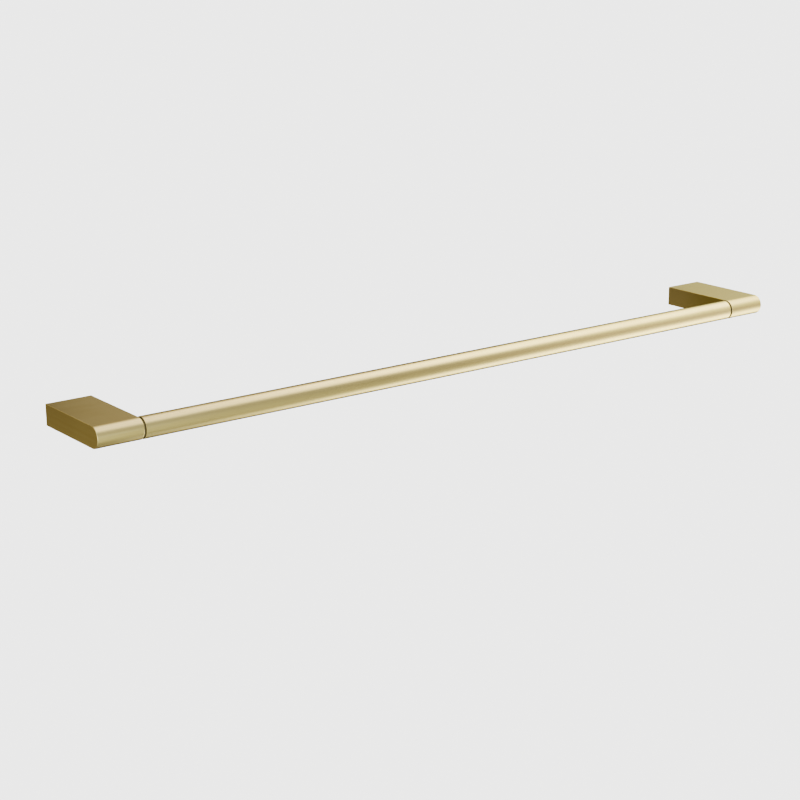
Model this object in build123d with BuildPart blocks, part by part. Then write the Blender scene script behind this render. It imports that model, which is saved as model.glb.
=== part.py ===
from build123d import *
import os

# Wall-mounted towel rail: a round tube held between two flat posts with half-round noses.
# The wall is the plane Y = 0 and the rail stands out towards -Y, with X along the bar and +Z up.
# The origin lies on the wall, midway between the posts, at the height of the bar's axis.

# Driving dimensions of what shows, in millimetres
post_spacing = 610.0  # between the middles of the two posts
post_width = 36.0  # along the bar
projection = 77.0  # from the wall to the front of the bar
bar_diameter = 16.0  # also the thickness of the posts, so that bar and noses run flush
edge_break = 0.4  # chamfer along the side outlines of the posts
groove_width = 1.5  # dark groove between post and tube
tube_edge = 0.3  # chamfer on both rims of the tube's ends

# Tube and end plugs
tube_wall = 1.2
bond_gap = 0.05  # glue line between plug and tube
shank_length = 18.0  # of the plug inside the tube
spigot_diameter = 10.0  # of the plug inside the post
spigot_length = 14.0
spigot_gap = 0.05  # between spigot and socket wall
socket_relief = 1.0  # free length behind the spigot
plug_chamfer = 0.8

# Pocket in the back of each post: a mouth for the bracket, then a deeper core that saves metal
mouth_side_wall = 3.0
mouth_wall = 2.5  # above and below the mouth
mouth_depth = 12.0
core_side_wall = 6.0
core_wall = 3.5  # above and below the core
core_depth = 52.0  # from the wall
core_draft = 1.0  # in degrees
pocket_corner = 1.5

# Wall bracket, which fits in the mouth
bracket_gap = 0.25  # all round, between bracket and mouth
plate_thickness = 3.0
tongue_reach = 10.0  # from the wall to the tip of the tongue
tongue_chamfer = 0.6
wall_hole_diameter = 4.5
countersink_diameter = 7.8
countersink_angle = 90.0
wall_hole_inset = 5.25  # from the end of the plate to the hole's middle
tongue_gap = 1.6  # between countersink and tongue

# Grub screws, with cone points and hexagon sockets
screw_diameter = 4.0
screw_gap = 0.05  # between screw and hole wall
screw_tip_diameter = 0.8
screw_chamfer = 0.4
hex_size = 2.0  # across the flats
hex_depth = 1.4
set_screw_length = 4.0
set_screw_inset = 6.5  # from the wall to the set screw's axis
set_screw_recess = 0.4  # below the underside of the post
bar_screw_length = 10.0
bar_screw_inset = 10.0  # from the post's inner face to the bar screw's axis
spigot_notch_depth = 1.2
notch_gap = 0.1  # between a screw's cone and the notch that it bites in

# Places that follow from the driving dimensions, on the left-hand side
bar_radius = bar_diameter / 2
bar_axis_y = bar_radius - projection
post_x = -post_spacing / 2
outer_x = post_x - post_width / 2
inner_x = post_x + post_width / 2
tube_end_x = inner_x + groove_width
tube_length = -2 * tube_end_x
shank_radius = bar_radius - tube_wall - bond_gap
spigot_radius = spigot_diameter / 2
socket_radius = spigot_radius + spigot_gap
socket_depth = spigot_length + socket_relief
screw_radius = screw_diameter / 2
screw_hole_radius = screw_radius + screw_gap
screw_tip_radius = screw_tip_diameter / 2
tip_gap = screw_tip_radius + notch_gap
plate_width = post_width - 2 * mouth_side_wall - 2 * bracket_gap
plate_height = bar_diameter - 2 * mouth_wall - 2 * bracket_gap
wall_hole_offset = plate_width / 2 - wall_hole_inset
tongue_width = 2 * (wall_hole_offset - countersink_diameter / 2 - tongue_gap)

# Planes and axes of the left-hand side
wall_plane = Plane(origin=(post_x, 0, 0), x_dir=(1, 0, 0), z_dir=(0, -1, 0))
joint_plane = Plane(origin=(inner_x, bar_axis_y, 0), x_dir=(0, 1, 0), z_dir=(1, 0, 0))
bar_axis = Axis((inner_x, bar_axis_y, 0), (1, 0, 0))

# The set screw points up, and its driven end lies just inside the underside of the post
set_screw_tip_z = -bar_radius + set_screw_recess + set_screw_length
set_screw_plane = Plane(origin=(post_x, -set_screw_inset, set_screw_tip_z), x_dir=(1, 0, 0), z_dir=(0, 0, -1))
set_notch_depth = set_screw_tip_z + plate_height / 2 + tip_gap

# The bar screw points away from the wall, with its cone in the notch round the spigot
bar_screw_x = inner_x - bar_screw_inset
bar_screw_tip_y = bar_axis_y + spigot_radius - spigot_notch_depth + tip_gap
bar_screw_plane = Plane(origin=(bar_screw_x, bar_screw_tip_y, 0), x_dir=(1, 0, 0), z_dir=(0, 1, 0))


# Grub screw standing on its tip at the origin of the plane, driven end towards the plane's normal
def grub_screw(tip_plane, length):
    cone_height = screw_radius - screw_tip_radius
    with BuildPart(tip_plane) as screw:
        Cone(screw_tip_radius, screw_radius, cone_height, align=(Align.CENTER, Align.CENTER, Align.MIN))
        with Locations((0, 0, cone_height)):
            Cylinder(screw_radius, length - cone_height, align=(Align.CENTER, Align.CENTER, Align.MIN))
        driven_end = screw.faces().sort_by(Axis(tip_plane.origin, tip_plane.z_dir))[-1]
        chamfer(driven_end.edges(), length=screw_chamfer)
        with BuildSketch(tip_plane.offset(length)):
            RegularPolygon(hex_size / 2, side_count=6, major_radius=False)
        extrude(amount=-hex_depth, mode=Mode.SUBTRACT)
    return screw


# Tube between the two grooves
with BuildPart() as bar_tube:
    with BuildSketch(joint_plane.offset(groove_width)):
        Circle(bar_radius)
        Circle(bar_radius - tube_wall, mode=Mode.SUBTRACT)
    extrude(amount=tube_length)
    chamfer(bar_tube.faces().filter_by(Axis.X).edges(), length=tube_edge)

# End plug turned from bar: spigot with a notch for the bar screw, shoulder, neck and shank
with BuildPart() as left_end_plug:
    shank_end = groove_width + shank_length
    with BuildSketch(Plane(origin=(inner_x, bar_axis_y, 0), x_dir=(1, 0, 0), z_dir=(0, 0, 1))):
        with BuildLine():
            Polyline(
                (-spigot_length, 0),
                (-spigot_length, spigot_radius - plug_chamfer),
                (-spigot_length + plug_chamfer, spigot_radius),
                (-bar_screw_inset - spigot_notch_depth, spigot_radius),
                (-bar_screw_inset, spigot_radius - spigot_notch_depth),
                (-bar_screw_inset + spigot_notch_depth, spigot_radius),
                (0, spigot_radius),
                (0, shank_radius),
                (shank_end - plug_chamfer, shank_radius),
                (shank_end, shank_radius - plug_chamfer),
                (shank_end, 0),
                close=True,
            )
        make_face()
    revolve(axis=bar_axis)

# Post: flat block whose front is a half-round nose in line with the bar
with BuildPart() as left_post:
    with BuildSketch(Plane.YZ.offset(outer_x)):
        with BuildLine():
            Line((0, bar_radius), (bar_axis_y, bar_radius))
            ThreePointArc((bar_axis_y, bar_radius), (-projection, 0), (bar_axis_y, -bar_radius))
            Polyline((bar_axis_y, -bar_radius), (0, -bar_radius), (0, bar_radius))
        make_face()
    extrude(amount=post_width)
    for side in left_post.faces().filter_by(Axis.X):
        chamfer(side.edges().sort_by(Axis.Y)[:-1], length=edge_break)

    # Pocket, open towards the wall
    with BuildSketch(wall_plane):
        RectangleRounded(post_width - 2 * mouth_side_wall, bar_diameter - 2 * mouth_wall, pocket_corner)
    extrude(amount=mouth_depth, mode=Mode.SUBTRACT)
    with BuildSketch(wall_plane.offset(mouth_depth)):
        RectangleRounded(post_width - 2 * core_side_wall, bar_diameter - 2 * core_wall, pocket_corner)
    extrude(amount=core_depth - mouth_depth, taper=core_draft, mode=Mode.SUBTRACT)

    # Socket for the spigot, and the tapped holes of the two grub screws
    with Locations(joint_plane):
        Hole(socket_radius, depth=socket_depth)
    with Locations(Plane(origin=(bar_screw_x, -core_depth, 0), z_dir=(0, 1, 0))):
        Hole(screw_hole_radius, depth=-core_depth - bar_axis_y)
    with Locations(Plane(origin=(post_x, -set_screw_inset, -bar_radius), z_dir=(0, 0, -1))):
        Hole(screw_hole_radius, depth=mouth_wall)

# Wall bracket: countersunk plate with a tongue that the set screw locks
with BuildPart() as left_wall_bracket:
    with BuildSketch(wall_plane):
        RectangleRounded(plate_width, plate_height, pocket_corner)
    extrude(amount=plate_thickness)
    with BuildSketch(wall_plane.offset(plate_thickness)):
        Rectangle(tongue_width, plate_height)
    extrude(amount=tongue_reach - plate_thickness)
    chamfer(left_wall_bracket.faces().sort_by(Axis.Y)[0].edges(), length=tongue_chamfer)
    with BuildSketch(Plane.YZ.offset(post_x - tongue_width / 2)):
        with BuildLine():
            Polyline(
                (-set_screw_inset - set_notch_depth, -plate_height / 2),
                (-set_screw_inset, set_notch_depth - plate_height / 2),
                (-set_screw_inset + set_notch_depth, -plate_height / 2),
                close=True,
            )
        make_face()
    extrude(amount=tongue_width, mode=Mode.SUBTRACT)
    with Locations(wall_plane.offset(plate_thickness)):
        with GridLocations(2 * wall_hole_offset, 0, 2, 1):
            CounterSinkHole(
                wall_hole_diameter / 2,
                countersink_diameter / 2,
                depth=plate_thickness,
                counter_sink_angle=countersink_angle,
            )

left_set_screw = grub_screw(set_screw_plane, set_screw_length)
left_bar_screw = grub_screw(bar_screw_plane, bar_screw_length)

left_side = {
    "end_plug": left_end_plug,
    "post": left_post,
    "wall_bracket": left_wall_bracket,
    "set_screw": left_set_screw,
    "bar_screw": left_bar_screw,
}

os.makedirs("parts", exist_ok=True)
bar_tube.part.label = "bar_tube"
export_step(bar_tube.part, "parts/bar_tube.step")
for name, left in left_side.items():
    left.part.label = f"left_{name}"
    export_step(left.part, f"parts/left_{name}.step")
    # The right-hand side is the mirror image of the left
    with BuildPart() as right:
        mirror(left.part, about=Plane.YZ)
    right.part.label = f"right_{name}"
    export_step(right.part, f"parts/right_{name}.step")
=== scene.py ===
import bpy
import bmesh
from math import hypot, pi, radians, tan
from mathutils import Matrix, Vector


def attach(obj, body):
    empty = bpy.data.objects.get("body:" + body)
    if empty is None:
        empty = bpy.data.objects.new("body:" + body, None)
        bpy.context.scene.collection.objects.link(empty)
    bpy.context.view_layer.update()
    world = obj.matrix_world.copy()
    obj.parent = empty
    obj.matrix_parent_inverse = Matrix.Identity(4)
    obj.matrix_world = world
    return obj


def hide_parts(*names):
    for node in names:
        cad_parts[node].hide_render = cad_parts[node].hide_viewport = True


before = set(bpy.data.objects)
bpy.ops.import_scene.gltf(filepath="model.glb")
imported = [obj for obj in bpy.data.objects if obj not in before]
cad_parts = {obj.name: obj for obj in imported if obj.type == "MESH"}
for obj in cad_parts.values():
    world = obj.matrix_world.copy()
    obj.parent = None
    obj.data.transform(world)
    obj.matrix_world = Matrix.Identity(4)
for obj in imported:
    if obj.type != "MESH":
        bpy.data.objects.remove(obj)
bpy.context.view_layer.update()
print("frame loaded:", len(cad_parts), "CAD nodes")

mm = 0.001
closeBy = 0.002 * mm  # two places nearer than this count as one
squareOn = 0.9  # a face looks along an axis when its normal has at least this share of it
smoothAngle = radians(35)

# shared by several pieces, on the left-hand side: the wall is Y = 0, and the bar's axis lies at Z = 0
rail = {
    "radius": 8 * mm, "axisY": -69 * mm, "postX": -305 * mm, "postWidth": 36 * mm, "groove": 1.5 * mm,
    "setScrewInset": 6.5 * mm, "barScrewInset": 10 * mm,
}
axisY, postX = rail["axisY"], rail["postX"]
outerX = postX - rail["postWidth"] / 2
innerX = postX + rail["postWidth"] / 2
tubeEndX = innerX + rail["groove"]


# small helpers for picking by place

def near(a, b):
    return abs(a - b) < closeBy


def clearSelection():
    if bpy.context.object and bpy.context.object.mode != "OBJECT":
        bpy.ops.object.mode_set(mode="OBJECT")
    bpy.ops.object.select_all(action="DESELECT")


def workOn(piece):
    clearSelection()
    piece.select_set(True)
    bpy.context.view_layer.objects.active = piece


def startEdit(piece):
    workOn(piece)
    bpy.ops.object.mode_set(mode="EDIT")
    bpy.ops.mesh.select_all(action="DESELECT")


def endEdit():
    bpy.ops.object.mode_set(mode="OBJECT")


def pickFaces(piece, test):
    bpy.ops.mesh.select_mode(type="FACE")
    bpy.ops.mesh.select_all(action="DESELECT")
    mesh = bmesh.from_edit_mesh(piece.data)
    mesh.normal_update()
    for face in mesh.faces:
        if test(face.calc_center_median(), face.normal):
            face.select_set(True)
    bmesh.update_edit_mesh(piece.data)


def pickEdges(piece, test):
    bpy.ops.mesh.select_mode(type="EDGE")
    bpy.ops.mesh.select_all(action="DESELECT")
    mesh = bmesh.from_edit_mesh(piece.data)
    for edge in mesh.edges:
        if test(edge.verts[0].co, edge.verts[1].co):
            edge.select_set(True)
    bmesh.update_edit_mesh(piece.data)


def pickAll():
    bpy.ops.mesh.select_mode(type="VERT")
    bpy.ops.mesh.select_all(action="SELECT")


def applyPlace(piece):
    workOn(piece)
    bpy.ops.object.transform_apply(location=True, rotation=True, scale=True)


def applyModifier(piece, modifier):
    workOn(piece)
    bpy.ops.object.modifier_apply(modifier=modifier.name)


# cutter is used up
def booleanWith(piece, cutter, operation):
    modifier = piece.modifiers.new("cut", "BOOLEAN")
    modifier.operation = operation
    modifier.solver = "EXACT"
    modifier.object = cutter
    applyModifier(piece, modifier)
    bpy.data.objects.remove(cutter)


def tidyMesh(piece):
    startEdit(piece)
    pickAll()
    bpy.ops.mesh.remove_doubles(threshold=closeBy)
    bpy.ops.mesh.dissolve_degenerate(threshold=closeBy)
    bpy.ops.mesh.normals_make_consistent(inside=False)
    endEdit()


# corners with two edges only, which a boolean leaves between two faces
def dropIdleCorners(piece):
    startEdit(piece)
    bpy.ops.mesh.select_mode(type="VERT")
    mesh = bmesh.from_edit_mesh(piece.data)
    for corner in mesh.verts:
        corner.select_set(len(corner.link_edges) == 2)
    bmesh.update_edit_mesh(piece.data)
    bpy.ops.mesh.dissolve_verts()
    endEdit()


# closed round shape along X: each station is a place and a radius
def turnedShape(stations, sides, centreY):
    clearSelection()
    startX, startRadius = stations[0]
    bpy.ops.mesh.primitive_circle_add(
        vertices=sides, radius=startRadius, fill_type="NGON",
        location=(startX, centreY, 0), rotation=(0, pi / 2, 0))
    piece = bpy.context.object
    applyPlace(piece)
    startEdit(piece)
    pickAll()
    lastX, lastRadius = startX, startRadius
    for stationX, stationRadius in stations[1:]:
        bpy.ops.mesh.extrude_region_move(
            TRANSFORM_OT_translate={"value": (stationX - lastX, 0, 0)})
        scale = stationRadius / lastRadius
        bpy.ops.transform.resize(value=(1, scale, scale), center_override=(stationX, centreY, 0))
        lastX, lastRadius = stationX, stationRadius
    endEdit()
    tidyMesh(piece)
    return piece


# straight hole; six sides make a hexagon socket
def drill(piece, radius, fromPoint, toPoint, sides):
    clearSelection()
    start, end = Vector(fromPoint), Vector(toPoint)
    along = end - start
    bpy.ops.mesh.primitive_cylinder_add(
        vertices=sides, radius=radius, depth=along.length, location=(start + end) / 2,
        rotation=along.to_track_quat("Z", "Y").to_euler())
    cutter = bpy.context.object
    applyPlace(cutter)
    booleanWith(piece, cutter, "DIFFERENCE")


# the right-hand twin of a left-hand piece, with a mesh of its own
def mirroredCopy(piece):
    workOn(piece)
    bpy.ops.object.duplicate(linked=False)
    twin = bpy.context.object
    startEdit(twin)
    pickAll()
    bpy.ops.transform.resize(value=(-1, 1, 1), center_override=(0, 0, 0))
    bpy.ops.mesh.normals_make_consistent(inside=False)
    endEdit()
    return twin


def shiftedCopy(piece, shiftX):
    workOn(piece)
    bpy.ops.object.duplicate(linked=False)
    twin = bpy.context.object
    twin.location.x += shiftX
    applyPlace(twin)
    return twin


def finishPiece(piece, name, node, finish):
    piece.name = name
    piece.data.name = name
    workOn(piece)
    bpy.ops.object.shade_smooth_by_angle(angle=smoothAngle)
    evenShading = piece.modifiers.new("evenShading", "WEIGHTED_NORMAL")
    evenShading.keep_sharp = True
    applyModifier(piece, evenShading)
    piece.data.materials.clear()
    piece.data.materials.append(finish)
    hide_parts(node)
    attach(piece, "root")
    print("piece ready:", name, len(piece.data.polygons), "faces")


def finishPair(left, right, name, node, finish):
    finishPiece(left, "left" + name, "left_" + node, finish)
    finishPiece(right, "right" + name, "right_" + node, finish)


# finishes

noiseSpan = (0.3, 0.7)  # most of a noise lies between these


def newFinish(name):
    finish = bpy.data.materials.new(name)
    finish.use_nodes = True
    tree = finish.node_tree
    return finish, tree, tree.nodes["Principled BSDF"]


def addNode(tree, kind, **settings):
    node = tree.nodes.new(kind)
    for key, value in settings.items():
        setattr(node, key, value)
    return node


def feed(tree, socket, value):
    if isinstance(value, bpy.types.NodeSocket):
        tree.links.new(value, socket)
    else:
        socket.default_value = value


def addPlace(tree):
    return addNode(tree, "ShaderNodeTexCoord").outputs["Object"]


# X, Y and Z of a vector
def addParts(tree, vector):
    node = addNode(tree, "ShaderNodeSeparateXYZ")
    tree.links.new(vector, node.inputs["Vector"])
    return node.outputs


def addMath(tree, operation, first, second=None):
    node = addNode(tree, "ShaderNodeMath", operation=operation)
    for socket, value in zip(node.inputs, (first, second)):
        if value is not None:
            feed(tree, socket, value)
    return node.outputs["Value"]


def addProduct(tree, first, second):
    return addMath(tree, "MULTIPLY", first, second)


def addGap(tree, first, second):
    return addMath(tree, "ABSOLUTE", addMath(tree, "SUBTRACT", first, second))


def addHypot(tree, first, second):
    squares = [addMath(tree, "POWER", side, 2.0) for side in (first, second)]
    return addMath(tree, "SQRT", addMath(tree, "ADD", *squares))


def addRange(tree, value, low, high, toLow, toHigh):
    node = addNode(tree, "ShaderNodeMapRange", interpolation_type="SMOOTHSTEP")
    tree.links.new(value, node.inputs["Value"])
    node.inputs["From Min"].default_value = low
    node.inputs["From Max"].default_value = high
    node.inputs["To Min"].default_value = toLow
    node.inputs["To Max"].default_value = toHigh
    return node.outputs["Result"]


# masks that go from nothing to one, or from one to nothing, between two values
def addRise(tree, value, low, high):
    return addRange(tree, value, low, high, 0.0, 1.0)


def addFall(tree, value, low, high):
    return addRange(tree, value, low, high, 1.0, 0.0)


# noise on Object coordinates, stretched by a Mapping node; repeats are cells per metre
def addNoise(tree, coordinates, repeats, detail, roughness=0.5):
    mapping = addNode(tree, "ShaderNodeMapping", vector_type="POINT")
    mapping.inputs["Scale"].default_value = repeats
    tree.links.new(coordinates, mapping.inputs["Vector"])
    noise = addNode(tree, "ShaderNodeTexNoise")
    noise.inputs["Scale"].default_value = 1.0
    noise.inputs["Detail"].default_value = detail
    noise.inputs["Roughness"].default_value = roughness
    tree.links.new(mapping.outputs["Vector"], noise.inputs["Vector"])
    return noise.outputs["Fac"]


def evenly(repeats):
    return (repeats, repeats, repeats)


def addBlend(tree, factor, first, second):
    node = addNode(tree, "ShaderNodeMix", data_type="FLOAT")
    for socket, value in zip((node.inputs[0], node.inputs[2], node.inputs[3]), (factor, first, second)):
        feed(tree, socket, value)
    return node.outputs[0]


def addTint(tree, factor, first, second):
    node = addNode(tree, "ShaderNodeMix", data_type="RGBA")
    for socket, value in zip((node.inputs[0], node.inputs[6], node.inputs[7]), (factor, first, second)):
        feed(tree, socket, value)
    return node.outputs[2]


def addBump(tree, shader, height, look):
    bump = addNode(tree, "ShaderNodeBump")
    bump.inputs["Strength"].default_value = look["bumpStrength"]
    bump.inputs["Distance"].default_value = look["bumpDepth"]
    tree.links.new(height, bump.inputs["Height"])
    tree.links.new(bump.outputs["Normal"], shader.inputs["Normal"])


brassLook = {
    "tone": (0.868, 0.740, 0.364, 1), "warmTone": (0.812, 0.668, 0.306, 1), "warmShare": 0.55,
    "postEdge": (0.44, 0.44, 0.43, 1), "tubeEdge": (0.25, 0.27, 0.32, 1),
    "grainAlong": 45, "grainAcross": 3600, "grainDetail": 3,
    "streakAlong": 9, "streakAcross": 700, "streakDetail": 2,
    "cloudRepeats": 22, "cloudDetail": 3, "cloudInTone": 0.5, "cloudInSatin": 0.4,
    "sideFrom": 0.6, "sideTo": 0.8,  # share of X in the normal, where the brushing turns
    "polish": 0.20, "dull": 0.24, "bumpStrength": 0.12, "bumpDepth": 0.02 * mm,
}


# satin brass, brushed along the rail; gives the sockets that a variant builds on
def brushedBrass(name, edgeTint):
    look = brassLook
    finish, tree, shader = newFinish(name)
    coordinates = addPlace(tree)
    normal = addParts(tree, addNode(tree, "ShaderNodeNewGeometry").outputs["True Normal"])
    onSide = addRise(tree, addMath(tree, "ABSOLUTE", normal["X"]), look["sideFrom"], look["sideTo"])

    # the sides of the posts are brushed from wall to nose
    def brushing(along, across, detail):
        return addBlend(
            tree, onSide,
            addNoise(tree, coordinates, (along, across, across), detail),
            addNoise(tree, coordinates, (across, along, across), detail))

    grain = brushing(look["grainAlong"], look["grainAcross"], look["grainDetail"])
    streaks = brushing(look["streakAlong"], look["streakAcross"], look["streakDetail"])
    clouds = addNoise(tree, coordinates, evenly(look["cloudRepeats"]), look["cloudDetail"])
    shade = addBlend(tree, look["cloudInTone"], streaks, clouds)
    warmth = addRange(tree, shade, *noiseSpan, 0.0, look["warmShare"])
    tone = addTint(tree, warmth, look["tone"], look["warmTone"])
    satin = addBlend(tree, look["cloudInSatin"], grain, clouds)
    rough = addRange(tree, satin, *noiseSpan, look["polish"], look["dull"])
    addBump(tree, shader, grain, look)
    shader.inputs["Specular Tint"].default_value = edgeTint
    return finish, tree, shader, coordinates, tone, rough


# dull dark coat that stands for painted shade in the grooves between tube, plug and post
grooveShadeLook = {"tone": (0.21, 0.175, 0.088, 1), "roughness": 0.7, "rimReach": 0.3 * mm, "rimFull": 0.05 * mm}


# metal, with a dull dark coat over it where the mask is one; the coat is painted shade for the grooves
def addGrooveShade(tree, shader, mask, tone, rough):
    tree.links.new(addTint(tree, mask, tone, grooveShadeLook["tone"]), shader.inputs["Base Color"])
    tree.links.new(addBlend(tree, mask, rough, grooveShadeLook["roughness"]), shader.inputs["Roughness"])
    tree.links.new(addBlend(tree, mask, 1.0, 0.0), shader.inputs["Metallic"])


# tube: painted shade on the rims beside the grooves
def tubeBrass():
    finish, tree, shader, coordinates, tone, rough = brushedBrass("tubeBrass", brassLook["tubeEdge"])
    fromMiddle = addMath(tree, "ABSOLUTE", addParts(tree, coordinates)["X"])
    shadedRim = addRise(tree, fromMiddle, -tubeEndX - grooveShadeLook["rimReach"], -tubeEndX - grooveShadeLook["rimFull"])
    addGrooveShade(tree, shader, shadedRim, tone, rough)
    return finish


wearLook = {
    "wornTone": (0.93, 0.80, 0.45, 1), "wornRoughness": 0.15, "edgeReach": 0.8 * mm,
    "patchRepeats": 260, "patchDetail": 3, "patchFrom": 0.35, "patchTo": 0.65,
    "patchLeast": 0.1, "patchMost": 0.7,
    "castTone": (0.50, 0.40, 0.18, 1), "castRoughness": 0.55, "castFrom": 0.8 * mm, "castTo": 1.6 * mm,
    "faceShadeTone": (0.72, 0.60, 0.22, 1), "faceShadeFrom": 10 * mm, "faceShadeTo": 58 * mm,
    "darkNoseTone": (0.74, 0.625, 0.295, 1), "darkNoseFrom": 280 * mm, "darkNoseTo": 290 * mm, "noseFrom": -2 * mm,
    "lowNoseFrom": -293 * mm, "lowNoseTo": -315 * mm, "lowNoseTop": -1.6 * mm, "lowNoseBottom": -3.8 * mm,
    "shadeInside": 7.8 * mm, "shadeOutside": 8.1 * mm, "shadeFull": 0.05 * mm, "shadeReach": 0.35 * mm,
    "faceFull": 0.1 * mm, "faceReach": 0.4 * mm,
}


# posts: edges rubbed bright, painted shade on the whole right nose, the left nose darker on its lower part,
# painted shade on the inner faces and in the grooves, bare casting in the pocket
def postBrass():
    look = wearLook
    finish, tree, shader, coordinates, tone, rough = brushedBrass("postBrass", brassLook["postEdge"])
    place = addParts(tree, coordinates)
    fromMiddle = addMath(tree, "ABSOLUTE", place["X"])
    fromInner = addGap(tree, fromMiddle, -innerX)
    fromOuter = addGap(tree, fromMiddle, -outerX)
    fromWall = addMath(tree, "ABSOLUTE", place["Y"])
    beyondAxis = addMath(tree, "SUBTRACT", place["Y"], axisY)
    fromAxis = addHypot(tree, beyondAxis, place["Z"])

    # depth under the sides, and under the flats and the nose, which share one rounded outline
    underSide = addMath(tree, "MINIMUM", fromInner, fromOuter)
    inNose = addMath(tree, "MINIMUM", beyondAxis, 0.0)
    underSkin = addMath(tree, "SUBTRACT", rail["radius"], addHypot(tree, inNose, place["Z"]))

    onEdge = addFall(tree, addMath(tree, "MAXIMUM", underSide, underSkin), 0.0, look["edgeReach"])
    patches = addNoise(tree, coordinates, evenly(look["patchRepeats"]), look["patchDetail"])
    patchy = addRange(
        tree, patches, look["patchFrom"], look["patchTo"], look["patchLeast"], look["patchMost"])
    worn = addProduct(tree, onEdge, patchy)

    buried = addMath(tree, "MINIMUM", addMath(tree, "MINIMUM", underSide, underSkin), fromWall)
    inPocket = addRise(tree, buried, look["castFrom"], look["castTo"])

    # painted shade in the groove: the ring of the inner face inside the bar's outline
    inShadedGroove = addProduct(
        tree, addFall(tree, fromAxis, look["shadeInside"], look["shadeOutside"]),
        addFall(tree, fromInner, look["shadeFull"], look["shadeReach"]))
    # painted shade on the inner faces, darker towards the bar
    faceShade = addProduct(
        tree, addFall(tree, fromAxis, look["faceShadeFrom"], look["faceShadeTo"]),
        addFall(tree, fromInner, look["faceFull"], look["faceReach"]))

    # painted shade darkens the whole right nose, where the light falls off at the right-hand end, and the
    # left nose is darker on its lower part
    onNose = addProduct(
        tree, addFall(tree, beyondAxis, look["noseFrom"], 0.0),
        addRise(tree, fromOuter, look["faceFull"], look["faceReach"]))
    lowerLeftNose = addProduct(
        tree, addFall(tree, place["X"], look["lowNoseTo"], look["lowNoseFrom"]),
        addFall(tree, place["Z"], look["lowNoseBottom"], look["lowNoseTop"]))
    darkNoses = addProduct(tree, onNose, addMath(
        tree, "MAXIMUM", lowerLeftNose, addRise(tree, place["X"], look["darkNoseFrom"], look["darkNoseTo"])))

    for mask, overTone in (
            (faceShade, "faceShadeTone"), (darkNoses, "darkNoseTone"), (worn, "wornTone"), (inPocket, "castTone")):
        tone = addTint(tree, mask, tone, look[overTone])
    for mask, overRough in ((worn, "wornRoughness"), (inPocket, "castRoughness")):
        rough = addBlend(tree, mask, rough, look[overRough])
    addGrooveShade(tree, shader, inShadedGroove, tone, rough)
    return finish


turnedLook = {
    "tone": (0.60, 0.48, 0.22, 1), "darkTone": (0.42, 0.33, 0.14, 1),
    "feedRepeats": 3300, "roundRepeats": 30, "feedDetail": 2,
    "cloudRepeats": 240, "cloudDetail": 4, "cloudRoughness": 0.6, "cloudInSatin": 0.5,
    "shadeFull": 0.8 * mm, "shadeReach": 1.4 * mm,
    "polish": 0.28, "dull": 0.42, "bumpStrength": 0.25, "bumpDepth": 0.02 * mm,
}


# bare brass from the lathe with feed lines round it, and painted shade on the neck in the groove
def turnedBrass():
    look = turnedLook
    finish, tree, shader = newFinish("turnedBrass")
    coordinates = addPlace(tree)
    feedStretch = (look["feedRepeats"], look["roundRepeats"], look["roundRepeats"])
    feedLines = addNoise(tree, coordinates, feedStretch, look["feedDetail"])
    clouds = addNoise(
        tree, coordinates, evenly(look["cloudRepeats"]), look["cloudDetail"], look["cloudRoughness"])
    fromMiddle = addMath(tree, "ABSOLUTE", addParts(tree, coordinates)["X"])
    fromGroove = addGap(tree, fromMiddle, -(innerX + tubeEndX) / 2)
    # painted shade on the neck, where it sits in the groove
    inShadedGroove = addFall(tree, fromGroove, look["shadeFull"], look["shadeReach"])
    tone = addTint(tree, addRise(tree, clouds, *noiseSpan), look["tone"], look["darkTone"])
    satin = addBlend(tree, look["cloudInSatin"], feedLines, clouds)
    rough = addRange(tree, satin, *noiseSpan, look["polish"], look["dull"])
    addGrooveShade(tree, shader, inShadedGroove, tone, rough)
    addBump(tree, shader, feedLines, look)
    return finish


platedLook = {
    "tone": (0.76, 0.77, 0.78, 1), "yellowTone": (0.76, 0.73, 0.62, 1), "darkTone": (0.56, 0.57, 0.58, 1),
    "cloudRepeats": 150, "cloudDetail": 4, "cloudRoughness": 0.6, "cloudFrom": 0.35, "cloudTo": 0.65,
    "stainRepeats": 420, "stainDetail": 5, "stainRoughness": 0.65,
    "stainFrom": 0.5, "stainTo": 0.75, "stainShare": 0.6,
    "spangleRepeats": 900, "spangleFrom": 0.1, "spangleTo": 0.8,
    "polish": 0.26, "dull": 0.46, "bumpStrength": 0.2, "bumpDepth": 0.02 * mm,
}


# zinc-plated pressed steel, a little yellow from its passivation
def platedSteel():
    look = platedLook
    finish, tree, shader = newFinish("platedSteel")
    coordinates = addPlace(tree)
    spangle = addNode(tree, "ShaderNodeTexVoronoi", feature="F1")
    spangle.inputs["Scale"].default_value = look["spangleRepeats"]
    spangle.inputs["Randomness"].default_value = 1.0
    tree.links.new(coordinates, spangle.inputs["Vector"])
    clouds = addNoise(
        tree, coordinates, evenly(look["cloudRepeats"]), look["cloudDetail"], look["cloudRoughness"])
    stain = addNoise(
        tree, coordinates, evenly(look["stainRepeats"]), look["stainDetail"], look["stainRoughness"])
    yellow = addRise(tree, clouds, look["cloudFrom"], look["cloudTo"])
    tone = addTint(tree, yellow, look["tone"], look["yellowTone"])
    stained = addRange(tree, stain, look["stainFrom"], look["stainTo"], 0.0, look["stainShare"])
    tone = addTint(tree, stained, tone, look["darkTone"])
    rough = addRange(
        tree, spangle.outputs["Distance"], look["spangleFrom"], look["spangleTo"],
        look["polish"], look["dull"])
    tree.links.new(tone, shader.inputs["Base Color"])
    tree.links.new(rough, shader.inputs["Roughness"])
    addBump(tree, shader, stain, look)
    shader.inputs["Metallic"].default_value = 1.0
    return finish


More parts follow.
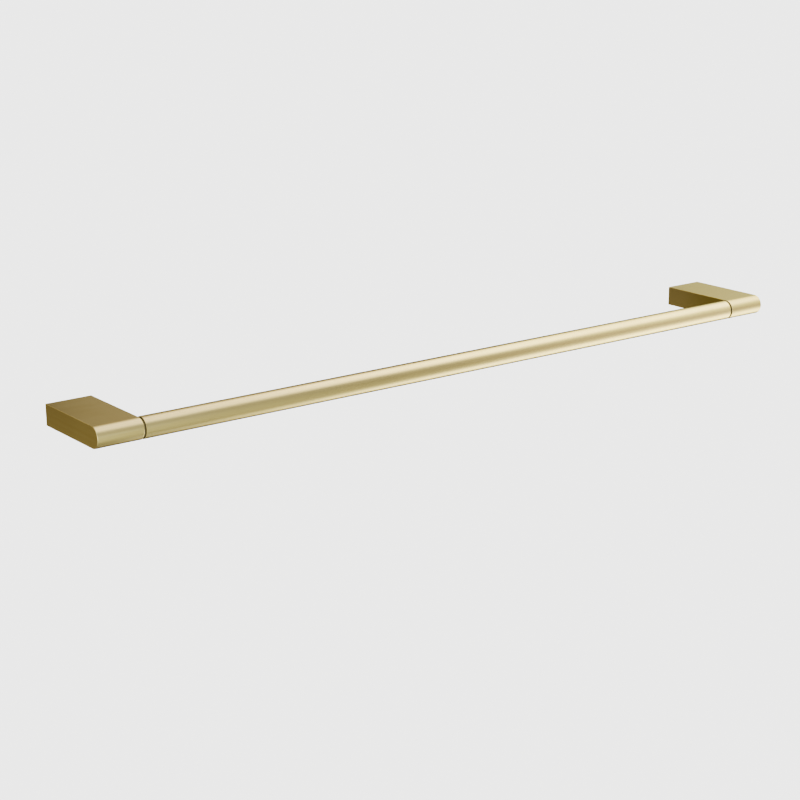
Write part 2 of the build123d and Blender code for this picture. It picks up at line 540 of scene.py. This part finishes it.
screwLook = {
    "tone": (0.56, 0.55, 0.53, 1), "rootShadeTone": (0.22, 0.21, 0.20, 1), "crestTone": (0.70, 0.69, 0.66, 1),
    "rootFrom": 0.42, "rootTo": 0.50, "crestFrom": 0.51, "crestTo": 0.60,
    "speckRepeats": 1500, "speckDetail": 4, "speckRoughness": 0.6,
    "polish": 0.24, "dull": 0.40, "bumpStrength": 0.15, "bumpDepth": 0.01 * mm,
}


# stainless steel: painted shade in the thread roots, crests rubbed bright
def screwSteel():
    look = screwLook
    finish, tree, shader = newFinish("screwSteel")
    coordinates = addPlace(tree)
    pointed = addNode(tree, "ShaderNodeNewGeometry").outputs["Pointiness"]
    specks = addNoise(
        tree, coordinates, evenly(look["speckRepeats"]), look["speckDetail"], look["speckRoughness"])
    aboveRoot = addRise(tree, pointed, look["rootFrom"], look["rootTo"])
    onCrest = addRise(tree, pointed, look["crestFrom"], look["crestTo"])
    # painted shade: darker where the surface is hollow, in the thread roots
    tone = addTint(tree, aboveRoot, look["rootShadeTone"], look["tone"])
    tone = addTint(tree, onCrest, tone, look["crestTone"])
    rough = addRange(tree, specks, *noiseSpan, look["polish"], look["dull"])
    tree.links.new(tone, shader.inputs["Base Color"])
    tree.links.new(rough, shader.inputs["Roughness"])
    addBump(tree, shader, specks, look)
    shader.inputs["Metallic"].default_value = 1.0
    return finish


tubeFinish = tubeBrass()
postFinish = postBrass()
turnedFinish = turnedBrass()
platedFinish = platedSteel()
screwFinish = screwSteel()
print("finishes ready")


tube = {"wall": 1.2 * mm, "rimRound": 0.3 * mm, "rimSteps": 3, "sides": 128, "rings": 13}


def makeTube():
    size = tube
    halfLength = -tubeEndX
    clearSelection()
    bpy.ops.mesh.primitive_cylinder_add(
        vertices=size["sides"], radius=rail["radius"], depth=2 * halfLength,
        end_fill_type="NOTHING", location=(0, axisY, 0), rotation=(0, pi / 2, 0))
    piece = bpy.context.object
    applyPlace(piece)

    # wall grows inwards and closes the rims
    wall = piece.modifiers.new("wall", "SOLIDIFY")
    wall.thickness = size["wall"]
    wall.offset = -1
    applyModifier(piece, wall)
    startEdit(piece)

    def isRim(a, b):
        sameRadius = near(hypot(a.y - axisY, a.z), hypot(b.y - axisY, b.z))
        return near(abs(a.x), halfLength) and near(abs(b.x), halfLength) and sameRadius

    pickEdges(piece, isRim)
    bpy.ops.mesh.bevel(offset=size["rimRound"], segments=size["rimSteps"], profile=0.5)

    # rings keep the faces short along the bar
    for ring in range(1, size["rings"] + 1):
        pickAll()
        cutX = halfLength * (2 * ring / (size["rings"] + 1) - 1)
        bpy.ops.mesh.bisect(plane_co=(cutX, 0, 0), plane_no=(1, 0, 0))
    endEdit()
    return piece


finishPiece(makeTube(), "barTube", "bar_tube", tubeFinish)


post = {
    "noseSteps": 64, "edgeRound": 0.4 * mm, "edgeSteps": 3,
    "mouthSideWall": 3 * mm, "mouthWall": 2.5 * mm, "mouthDepth": 12 * mm,
    "coreSideWall": 6 * mm, "coreWall": 3.5 * mm, "coreDepth": 52 * mm, "coreDraft": radians(1),
    "pocketCorner": 1.5 * mm, "cornerSteps": 6,
    "socketRadius": 5.05 * mm, "socketDepth": 15 * mm, "socketSides": 64,
    "screwHoleRadius": 2.05 * mm, "screwHoleSides": 48, "overrun": 1 * mm,
}


def makePost():
    size = post
    half, width, flatDepth = rail["radius"], rail["postWidth"], -axisY
    clearSelection()
    bpy.ops.mesh.primitive_cube_add(
        size=1, location=(postX, -flatDepth / 2, 0), scale=(width, flatDepth, 2 * half))
    piece = bpy.context.object
    applyPlace(piece)
    startEdit(piece)

    def atFront(corner):
        return near(corner.y, -flatDepth)

    def onSide(a, b, sideX):
        return near(a.x, sideX) and near(b.x, sideX)

    # front opens, and the top front edge is spun round the bar's axis into the nose
    pickFaces(piece, lambda middle, normal: normal.y < -squareOn)
    bpy.ops.mesh.delete(type="ONLY_FACE")
    pickEdges(piece, lambda a, b: atFront(a) and atFront(b) and near(a.z, half) and near(b.z, half))
    bpy.ops.mesh.spin(
        steps=size["noseSteps"], angle=pi, center=(postX, -flatDepth, 0), axis=(-1, 0, 0))
    pickAll()
    bpy.ops.mesh.remove_doubles(threshold=closeBy)

    # half discs close the nose's ends and join the flat sides
    for sideX in (outerX, innerX):
        pickEdges(piece, lambda a, b: onSide(a, b, sideX) and max(a.y, b.y) < closeBy - flatDepth)
        bpy.ops.mesh.edge_face_add()
    pickEdges(piece, lambda a, b: near(a.x, b.x) and atFront(a) and atFront(b))
    bpy.ops.mesh.dissolve_edges(use_verts=False)

    # pocket in the back: mouth for the bracket, then a tapered core
    pickFaces(piece, lambda middle, normal: normal.y > squareOn)
    bpy.ops.mesh.inset(thickness=size["mouthWall"])
    mouthWidth = width - 2 * size["mouthSideWall"]
    bpy.ops.transform.resize(
        value=(mouthWidth / (width - 2 * size["mouthWall"]), 1, 1), center_override=(postX, 0, 0))
    bpy.ops.mesh.extrude_region_move(TRANSFORM_OT_translate={"value": (0, -size["mouthDepth"], 0)})
    step = size["coreWall"] - size["mouthWall"]
    bpy.ops.mesh.inset(thickness=step)
    coreWidth, coreHeight = width - 2 * size["coreSideWall"], 2 * (half - size["coreWall"])
    bpy.ops.transform.resize(
        value=(coreWidth / (mouthWidth - 2 * step), 1, 1), center_override=(postX, -size["mouthDepth"], 0))
    coreLength = size["coreDepth"] - size["mouthDepth"]
    bpy.ops.mesh.extrude_region_move(TRANSFORM_OT_translate={"value": (0, -coreLength, 0)})
    lost = 2 * coreLength * tan(size["coreDraft"])
    bpy.ops.transform.resize(
        value=(1 - lost / coreWidth, 1, 1 - lost / coreHeight),
        center_override=(postX, -size["coreDepth"], 0))

    def isPocketCorner(a, b):
        inside = max(abs(a.x - postX), abs(b.x - postX)) < width / 2 - closeBy
        return inside and abs(a.y - b.y) > size["mouthDepth"] / 2

    pickEdges(piece, isPocketCorner)
    bpy.ops.mesh.bevel(offset=size["pocketCorner"], segments=size["cornerSteps"], profile=0.5)

    # side outlines are broken, apart from the edges on the wall
    def isSideOutline(a, b):
        return (onSide(a, b, outerX) or onSide(a, b, innerX)) and min(a.y, b.y) < -closeBy

    pickEdges(piece, isSideOutline)
    bpy.ops.mesh.bevel(offset=size["edgeRound"], segments=size["edgeSteps"], profile=0.5)
    endEdit()
    tidyMesh(piece)

    # socket for the plug, and the holes of the bar screw and the set screw
    over, holeRadius, holeSides = size["overrun"], size["screwHoleRadius"], size["screwHoleSides"]
    barScrewX, setScrewY = innerX - rail["barScrewInset"], -rail["setScrewInset"]
    drill(
        piece, size["socketRadius"], (innerX + over, axisY, 0), (innerX - size["socketDepth"], axisY, 0),
        size["socketSides"])
    drill(
        piece, holeRadius, (barScrewX, over - size["coreDepth"], 0), (barScrewX, axisY, 0), holeSides)
    drill(
        piece, holeRadius, (postX, setScrewY, -half - over),
        (postX, setScrewY, size["mouthWall"] + over - half), holeSides)
    tidyMesh(piece)
    return piece


leftPost = makePost()
finishPair(leftPost, mirroredCopy(leftPost), "Post", "post", postFinish)


plug = {
    "spigotRadius": 5 * mm, "spigotLength": 14 * mm, "notchDepth": 1.2 * mm,
    "shankRadius": 6.75 * mm, "shankLength": 18 * mm, "chamfer": 0.8 * mm, "sides": 96,
}


# spigot with a notch round it for the bar screw, shoulder, neck and shank
def makePlug():
    spigot, shank = plug["spigotRadius"], plug["shankRadius"]
    notch, chamfer = plug["notchDepth"], plug["chamfer"]
    spigotEnd, shankEnd = innerX - plug["spigotLength"], tubeEndX + plug["shankLength"]
    notchX = innerX - rail["barScrewInset"]
    stations = (
        (spigotEnd, spigot - chamfer), (spigotEnd + chamfer, spigot),
        (notchX - notch, spigot), (notchX, spigot - notch), (notchX + notch, spigot),
        (innerX, spigot), (innerX, shank),
        (shankEnd - chamfer, shank), (shankEnd, shank - chamfer))
    return turnedShape(stations, plug["sides"], axisY)


leftPlug = makePlug()
finishPair(leftPlug, mirroredCopy(leftPlug), "EndPlug", "end_plug", turnedFinish)


bracket = {
    "width": 29.5 * mm, "half": 5.25 * mm, "plate": 3 * mm, "corner": 1.5 * mm, "cornerSteps": 6,
    "tongueHalf": 4 * mm, "tongueReach": 10 * mm, "tipRound": 0.6 * mm, "tipSteps": 3,
    "notchDepth": 2.15 * mm, "holeOffset": 9.5 * mm, "holeRadius": 2.25 * mm, "sinkRadius": 3.9 * mm,
    "holeSides": 64, "overrun": 1 * mm,
}


# drill and countersink in one, pointing at the wall
def countersinkCutter(holeX):
    size = bracket
    over, plate = size["overrun"], size["plate"]
    holeRadius, sinkRadius = size["holeRadius"], size["sinkRadius"]
    stations = (
        (-over, holeRadius), (plate - (sinkRadius - holeRadius), holeRadius),
        (plate, sinkRadius), (plate + over, sinkRadius + over))
    cutter = turnedShape(stations, size["holeSides"], 0)
    cutter.rotation_euler = (0, 0, -pi / 2)
    cutter.location = (holeX, 0, 0)
    applyPlace(cutter)
    return cutter


def makeBracket():
    size = bracket
    half, plate, tongueHalf, reach = size["half"], size["plate"], size["tongueHalf"], size["tongueReach"]
    clearSelection()
    bpy.ops.mesh.primitive_cube_add(
        size=1, location=(postX, -plate / 2, 0), scale=(size["width"], plate, 2 * half))
    piece = bpy.context.object
    applyPlace(piece)
    startEdit(piece)
    pickEdges(piece, lambda a, b: abs(a.y - b.y) > plate / 2)
    bpy.ops.mesh.bevel(offset=size["corner"], segments=size["cornerSteps"], profile=0.5)

    # the middle of the front is pulled out into the tongue
    for side in (-1, 1):
        pickAll()
        bpy.ops.mesh.bisect(plane_co=(postX + side * tongueHalf, 0, 0), plane_no=(1, 0, 0))
    pickFaces(piece, lambda middle, normal: normal.y < -squareOn and abs(middle.x - postX) < tongueHalf)
    bpy.ops.mesh.extrude_region_move(TRANSFORM_OT_translate={"value": (0, plate - reach, 0)})
    pickEdges(piece, lambda a, b: near(a.y, -reach) and near(b.y, -reach))
    bpy.ops.mesh.bevel(offset=size["tipRound"], segments=size["tipSteps"], profile=0.5)
    endEdit()
    tidyMesh(piece)

    # square bar on its edge cuts the notch that the set screw bites in
    clearSelection()
    notchSide = size["notchDepth"] * 2 ** 0.5
    bpy.ops.mesh.primitive_cube_add(
        size=1, location=(postX, -rail["setScrewInset"], -half), rotation=(pi / 4, 0, 0),
        scale=(2 * tongueHalf + size["overrun"], notchSide, notchSide))
    notchCutter = bpy.context.object
    applyPlace(notchCutter)
    booleanWith(piece, notchCutter, "DIFFERENCE")
    for side in (-1, 1):
        booleanWith(piece, countersinkCutter(postX + side * size["holeOffset"]), "DIFFERENCE")
    tidyMesh(piece)
    return piece


leftBracket = makeBracket()
finishPair(
    leftBracket, mirroredCopy(leftBracket), "WallBracket", "wall_bracket", platedFinish)


screw = {
    "radius": 2 * mm, "rootRadius": 1.571 * mm, "pitch": 0.7 * mm, "threadSteps": 48, "spareTurns": 4,
    "lead": 1.4567,  # turns below the tip, so that no cut meets the thread's own points
    "tipRadius": 0.4 * mm, "chamfer": 0.4 * mm, "sides": 64, "overrun": 0.1 * mm,
    "hexSize": 2 * mm, "hexDepth": 1.4 * mm, "hexSides": 6,
    "setLength": 4 * mm, "setRecess": 0.4 * mm, "barLength": 10 * mm, "barTipGap": 0.5 * mm,
}
setTip = (postX, -rail["setScrewInset"], screw["setRecess"] + screw["setLength"] - rail["radius"])
barTip = (
    innerX - rail["barScrewInset"],
    axisY + plug["spigotRadius"] - plug["notchDepth"] + screw["barTipGap"], 0)


# grub screw standing on its tip at the origin, driven end up
def makeGrubScrew(length):
    size = screw
    radius, pitch, over = size["radius"], size["pitch"], size["overrun"]
    clearSelection()
    bpy.ops.mesh.primitive_plane_add(size=pitch)
    piece = bpy.context.object
    startEdit(piece)
    pickAll()
    bpy.ops.mesh.merge(type="CENTER")
    pickAll()
    bpy.ops.transform.translate(value=(size["rootRadius"], 0, 0))

    # one tooth of the thread, drawn point by point, then wound up by the modifier
    rise = radius - size["rootRadius"]
    crest, root = pitch / 8, pitch / 4
    flank = (pitch - crest - root) / 2
    for outwards, up in ((0, root / 2), (rise, flank), (0, crest), (-rise, flank), (0, root / 2)):
        bpy.ops.mesh.extrude_vertices_move(TRANSFORM_OT_translate={"value": (outwards, 0, up)})
    endEdit()
    thread = piece.modifiers.new("thread", "SCREW")
    thread.axis = "Z"
    thread.screw_offset = pitch
    thread.iterations = int(length / pitch) + size["spareTurns"]
    thread.steps = thread.render_steps = size["threadSteps"]
    applyModifier(piece, thread)
    tidyMesh(piece)

    # cut to length and closed
    piece.location.z = -size["lead"] * pitch
    applyPlace(piece)
    startEdit(piece)
    for cutZ, upwards in ((0, False), (length, True)):
        pickAll()
        bpy.ops.mesh.bisect(
            plane_co=(0, 0, cutZ), plane_no=(0, 0, 1), clear_inner=not upwards, clear_outer=upwards)
    pickAll()
    bpy.ops.mesh.fill_holes(sides=0)
    endEdit()
    tidyMesh(piece)

    # turned to a cone point and a chamfered end
    envelope = turnedShape(
        ((0, size["tipRadius"]), (radius - size["tipRadius"] + over, radius + over),
         (length - size["chamfer"] - over, radius + over), (length, radius - size["chamfer"])),
        size["sides"], 0)
    envelope.rotation_euler = (0, -pi / 2, 0)
    applyPlace(envelope)
    booleanWith(piece, envelope, "INTERSECT")

    # hexagon socket
    hexRadius = size["hexSize"] / 3 ** 0.5
    drill(piece, hexRadius, (0, 0, length + over), (0, 0, length - size["hexDepth"]), size["hexSides"])
    tidyMesh(piece)
    dropIdleCorners(piece)
    return piece


def placedScrew(length, turn, tip):
    piece = makeGrubScrew(length)
    piece.rotation_euler = (turn, 0, 0)
    piece.location = tip
    applyPlace(piece)
    return piece


# set screws point up and bar screws away from the wall
leftSetScrew = placedScrew(screw["setLength"], pi, setTip)
leftBarScrew = placedScrew(screw["barLength"], -pi / 2, barTip)

# moved, not mirrored: every thread is right-handed
rightSetScrew = shiftedCopy(leftSetScrew, -2 * setTip[0])
rightBarScrew = shiftedCopy(leftBarScrew, -2 * barTip[0])
finishPair(leftSetScrew, rightSetScrew, "SetScrew", "set_screw", screwFinish)
finishPair(leftBarScrew, rightBarScrew, "BarScrew", "bar_screw", screwFinish)


floor = {"drop": 1.6, "size": 120, "tone": (0.8, 0.8, 0.797, 1), "roughness": 0.9}


# pale and matt, and not mirrored in the metal
def makeFloor():
    clearSelection()
    bpy.ops.mesh.primitive_plane_add(size=floor["size"], location=(0, 0, -floor["drop"]))
    plane = bpy.context.object
    plane.name = "floor"
    finish, tree, shader = newFinish("paleFloor")
    shader.inputs["Base Color"].default_value = floor["tone"]
    shader.inputs["Roughness"].default_value = floor["roughness"]
    shader.inputs["Specular IOR Level"].default_value = 0.0
    plane.data.materials.append(finish)
    plane.visible_glossy = False


# soft lamps and dark flags far away: direction, radius and blur of the disc in degrees, and the light
# or the share let through; the fill, rearLow and the first six lamps are rounded from a fit to the photo
# that a program outside this script made, and the others were set by hand
studio = {
    "fill": (0.064, 0.056, 0.060), "backdrop": 1.265,
    "lamps": {
        "rightPanel": {"aim": (0.98, 0.03, 0.21), "radius": 43.5, "blur": 3, "light": (0.43, 0.48, 0.29)},
        "rightWall": {"aim": (0.99, 0.14, 0.00), "radius": 59, "blur": 4, "light": (0.54, 0.52, 0.53)},
        "rightLow": {"aim": (0.89, -0.01, -0.45), "radius": 29.5, "blur": 28, "light": (1.91, 1.94, 1.76)},
        "rightHigh": {"aim": (0.59, 0.05, 0.81), "radius": 31, "blur": 34, "light": (0.85, 0.82, 0.90)},
        "frontLow": {"aim": (-0.27, -0.86, -0.43), "radius": 46, "blur": 52, "light": (0.73, 0.78, 0.71)},
        "frontHigh": {"aim": (-0.37, -0.77, 0.53), "radius": 53.5, "blur": 41.5, "light": (0.48, 0.52, 0.55)},
        "left": {"aim": (-0.97, 0.05, 0.10), "radius": 22, "blur": 24, "light": (0.55, 0.53, 0.50)},
        "leftHigh": {"aim": (-0.72, 0.40, 0.57), "radius": 16, "blur": 18, "light": (0.45, 0.42, 0.35)},
        "rear": {"aim": (0.10, 0.94, 0.34), "radius": 10, "blur": 10, "light": (0.50, 0.46, 0.36)},
        "rearTop": {"aim": (0.00, 0.75, 0.66), "radius": 14, "blur": 16, "light": (0.60, 0.57, 0.50)},
        "rearLeft": {"aim": (-0.30, 0.90, 0.30), "radius": 14, "blur": 20, "light": (0.24, 0.21, 0.14)},
        "rearFarLeft": {"aim": (-0.62, 0.68, 0.40), "radius": 14, "blur": 18, "light": (0.50, 0.46, 0.36)},
        "rearLow": {"aim": (-0.41, 0.63, -0.67), "radius": 30.5, "blur": 32, "light": (0.31, 0.29, 0.235)},
        "under": {"aim": (0.45, 0.05, -0.89), "radius": 26, "blur": 26, "light": (0.075, 0.09, 0.12)},
        "underRear": {"aim": (0.35, 0.36, -0.86), "radius": 11, "blur": 14, "light": (0.30, 0.28, 0.28)},
    },
    "flags": {
        "rightEnd": {"aim": (1, 0, 0), "radius": 24, "blur": 18, "passes": 0.3},
        "rearLowRight": {"aim": (0.60, 0.70, -0.40), "radius": 26, "blur": 18, "passes": 0.25},
        "rearRight": {"aim": (0.58, 0.76, 0.20), "radius": 6, "blur": 8, "passes": 0.1},
    },
    "sunStrength": 2.86, "sunAngle": radians(90), "sunHeight": 2,
}


def addDisc(tree, direction, disc, inside, outside):
    towards = addNode(tree, "ShaderNodeVectorMath", operation="DOT_PRODUCT")
    tree.links.new(direction, towards.inputs[0])
    towards.inputs[1].default_value = Vector(disc["aim"]).normalized()
    away = addMath(tree, "ARCCOSINE", towards.outputs["Value"])
    edge, half = disc["radius"], disc["blur"] / 2
    return addRange(tree, away, radians(edge - half), radians(edge + half), inside, outside)


def addScaled(tree, vector, factor):
    node = addNode(tree, "ShaderNodeVectorMath", operation="SCALE")
    feed(tree, node.inputs["Vector"], vector)
    feed(tree, node.inputs["Scale"], factor)
    return node.outputs["Vector"]


def makeStudio():
    world = bpy.data.worlds.new("studio")
    bpy.context.scene.world = world
    world.use_nodes = True
    tree = world.node_tree
    background = tree.nodes["Background"]
    direction = addNode(tree, "ShaderNodeTexCoord").outputs["Generated"]
    total = studio["fill"]
    for lamp in studio["lamps"].values():
        both = addNode(tree, "ShaderNodeVectorMath", operation="ADD")
        feed(tree, both.inputs[0], total)
        feed(tree, both.inputs[1], addScaled(tree, lamp["light"], addDisc(tree, direction, lamp, 1.0, 0.0)))
        total = both.outputs["Vector"]

    # flags: against glare on the right-hand end, and for the dark lines along the rail
    for flag in studio["flags"].values():
        total = addScaled(tree, total, addDisc(tree, direction, flag, flag["passes"], 1.0))
    tree.links.new(total, background.inputs["Color"])

    # the camera itself sees a plain backdrop
    plain = addNode(tree, "ShaderNodeBackground")
    plain.inputs["Color"].default_value = (1, 1, 1, 1)
    plain.inputs["Strength"].default_value = studio["backdrop"]
    choose = addNode(tree, "ShaderNodeMixShader")
    tree.links.new(addNode(tree, "ShaderNodeLightPath").outputs["Is Camera Ray"], choose.inputs["Fac"])
    tree.links.new(background.outputs["Background"], choose.inputs[1])
    tree.links.new(plain.outputs["Background"], choose.inputs[2])
    tree.links.new(choose.outputs["Shader"], tree.nodes["World Output"].inputs["Surface"])

    # overhead lamp for the floor, not mirrored in the metal
    clearSelection()
    bpy.ops.object.light_add(type="SUN", location=(0, 0, studio["sunHeight"]))
    sun = bpy.context.object
    sun.name = "floorLamp"
    sun.data.energy = studio["sunStrength"]
    sun.data.angle = studio["sunAngle"]
    sun.visible_glossy = False


shot = {
    "place": (-0.8577, -1.1379, 0.3609), "azimuth": radians(-36.585), "elevation": radians(15.943),
    "roll": radians(-0.443), "lens": 82.216, "sensor": 36, "sees": 200,
}


def makeCamera():
    clearSelection()
    bpy.ops.object.camera_add(location=shot["place"])
    camera = bpy.context.object
    camera.name = "camera"
    turn = Matrix.Rotation(shot["azimuth"], 3, "Z") @ Matrix.Rotation(pi / 2 - shot["elevation"], 3, "X")
    camera.rotation_euler = (turn @ Matrix.Rotation(shot["roll"], 3, "Z")).to_euler()
    camera.data.lens = shot["lens"]
    camera.data.sensor_width = shot["sensor"]
    camera.data.clip_end = shot["sees"]
    bpy.context.scene.camera = camera


makeFloor()
makeStudio()
makeCamera()
bpy.context.scene.view_settings.view_transform = "AgX"
bpy.context.scene.view_settings.look = "AgX - Very High Contrast"
print("studio ready")

bpy.context.view_layer.update()
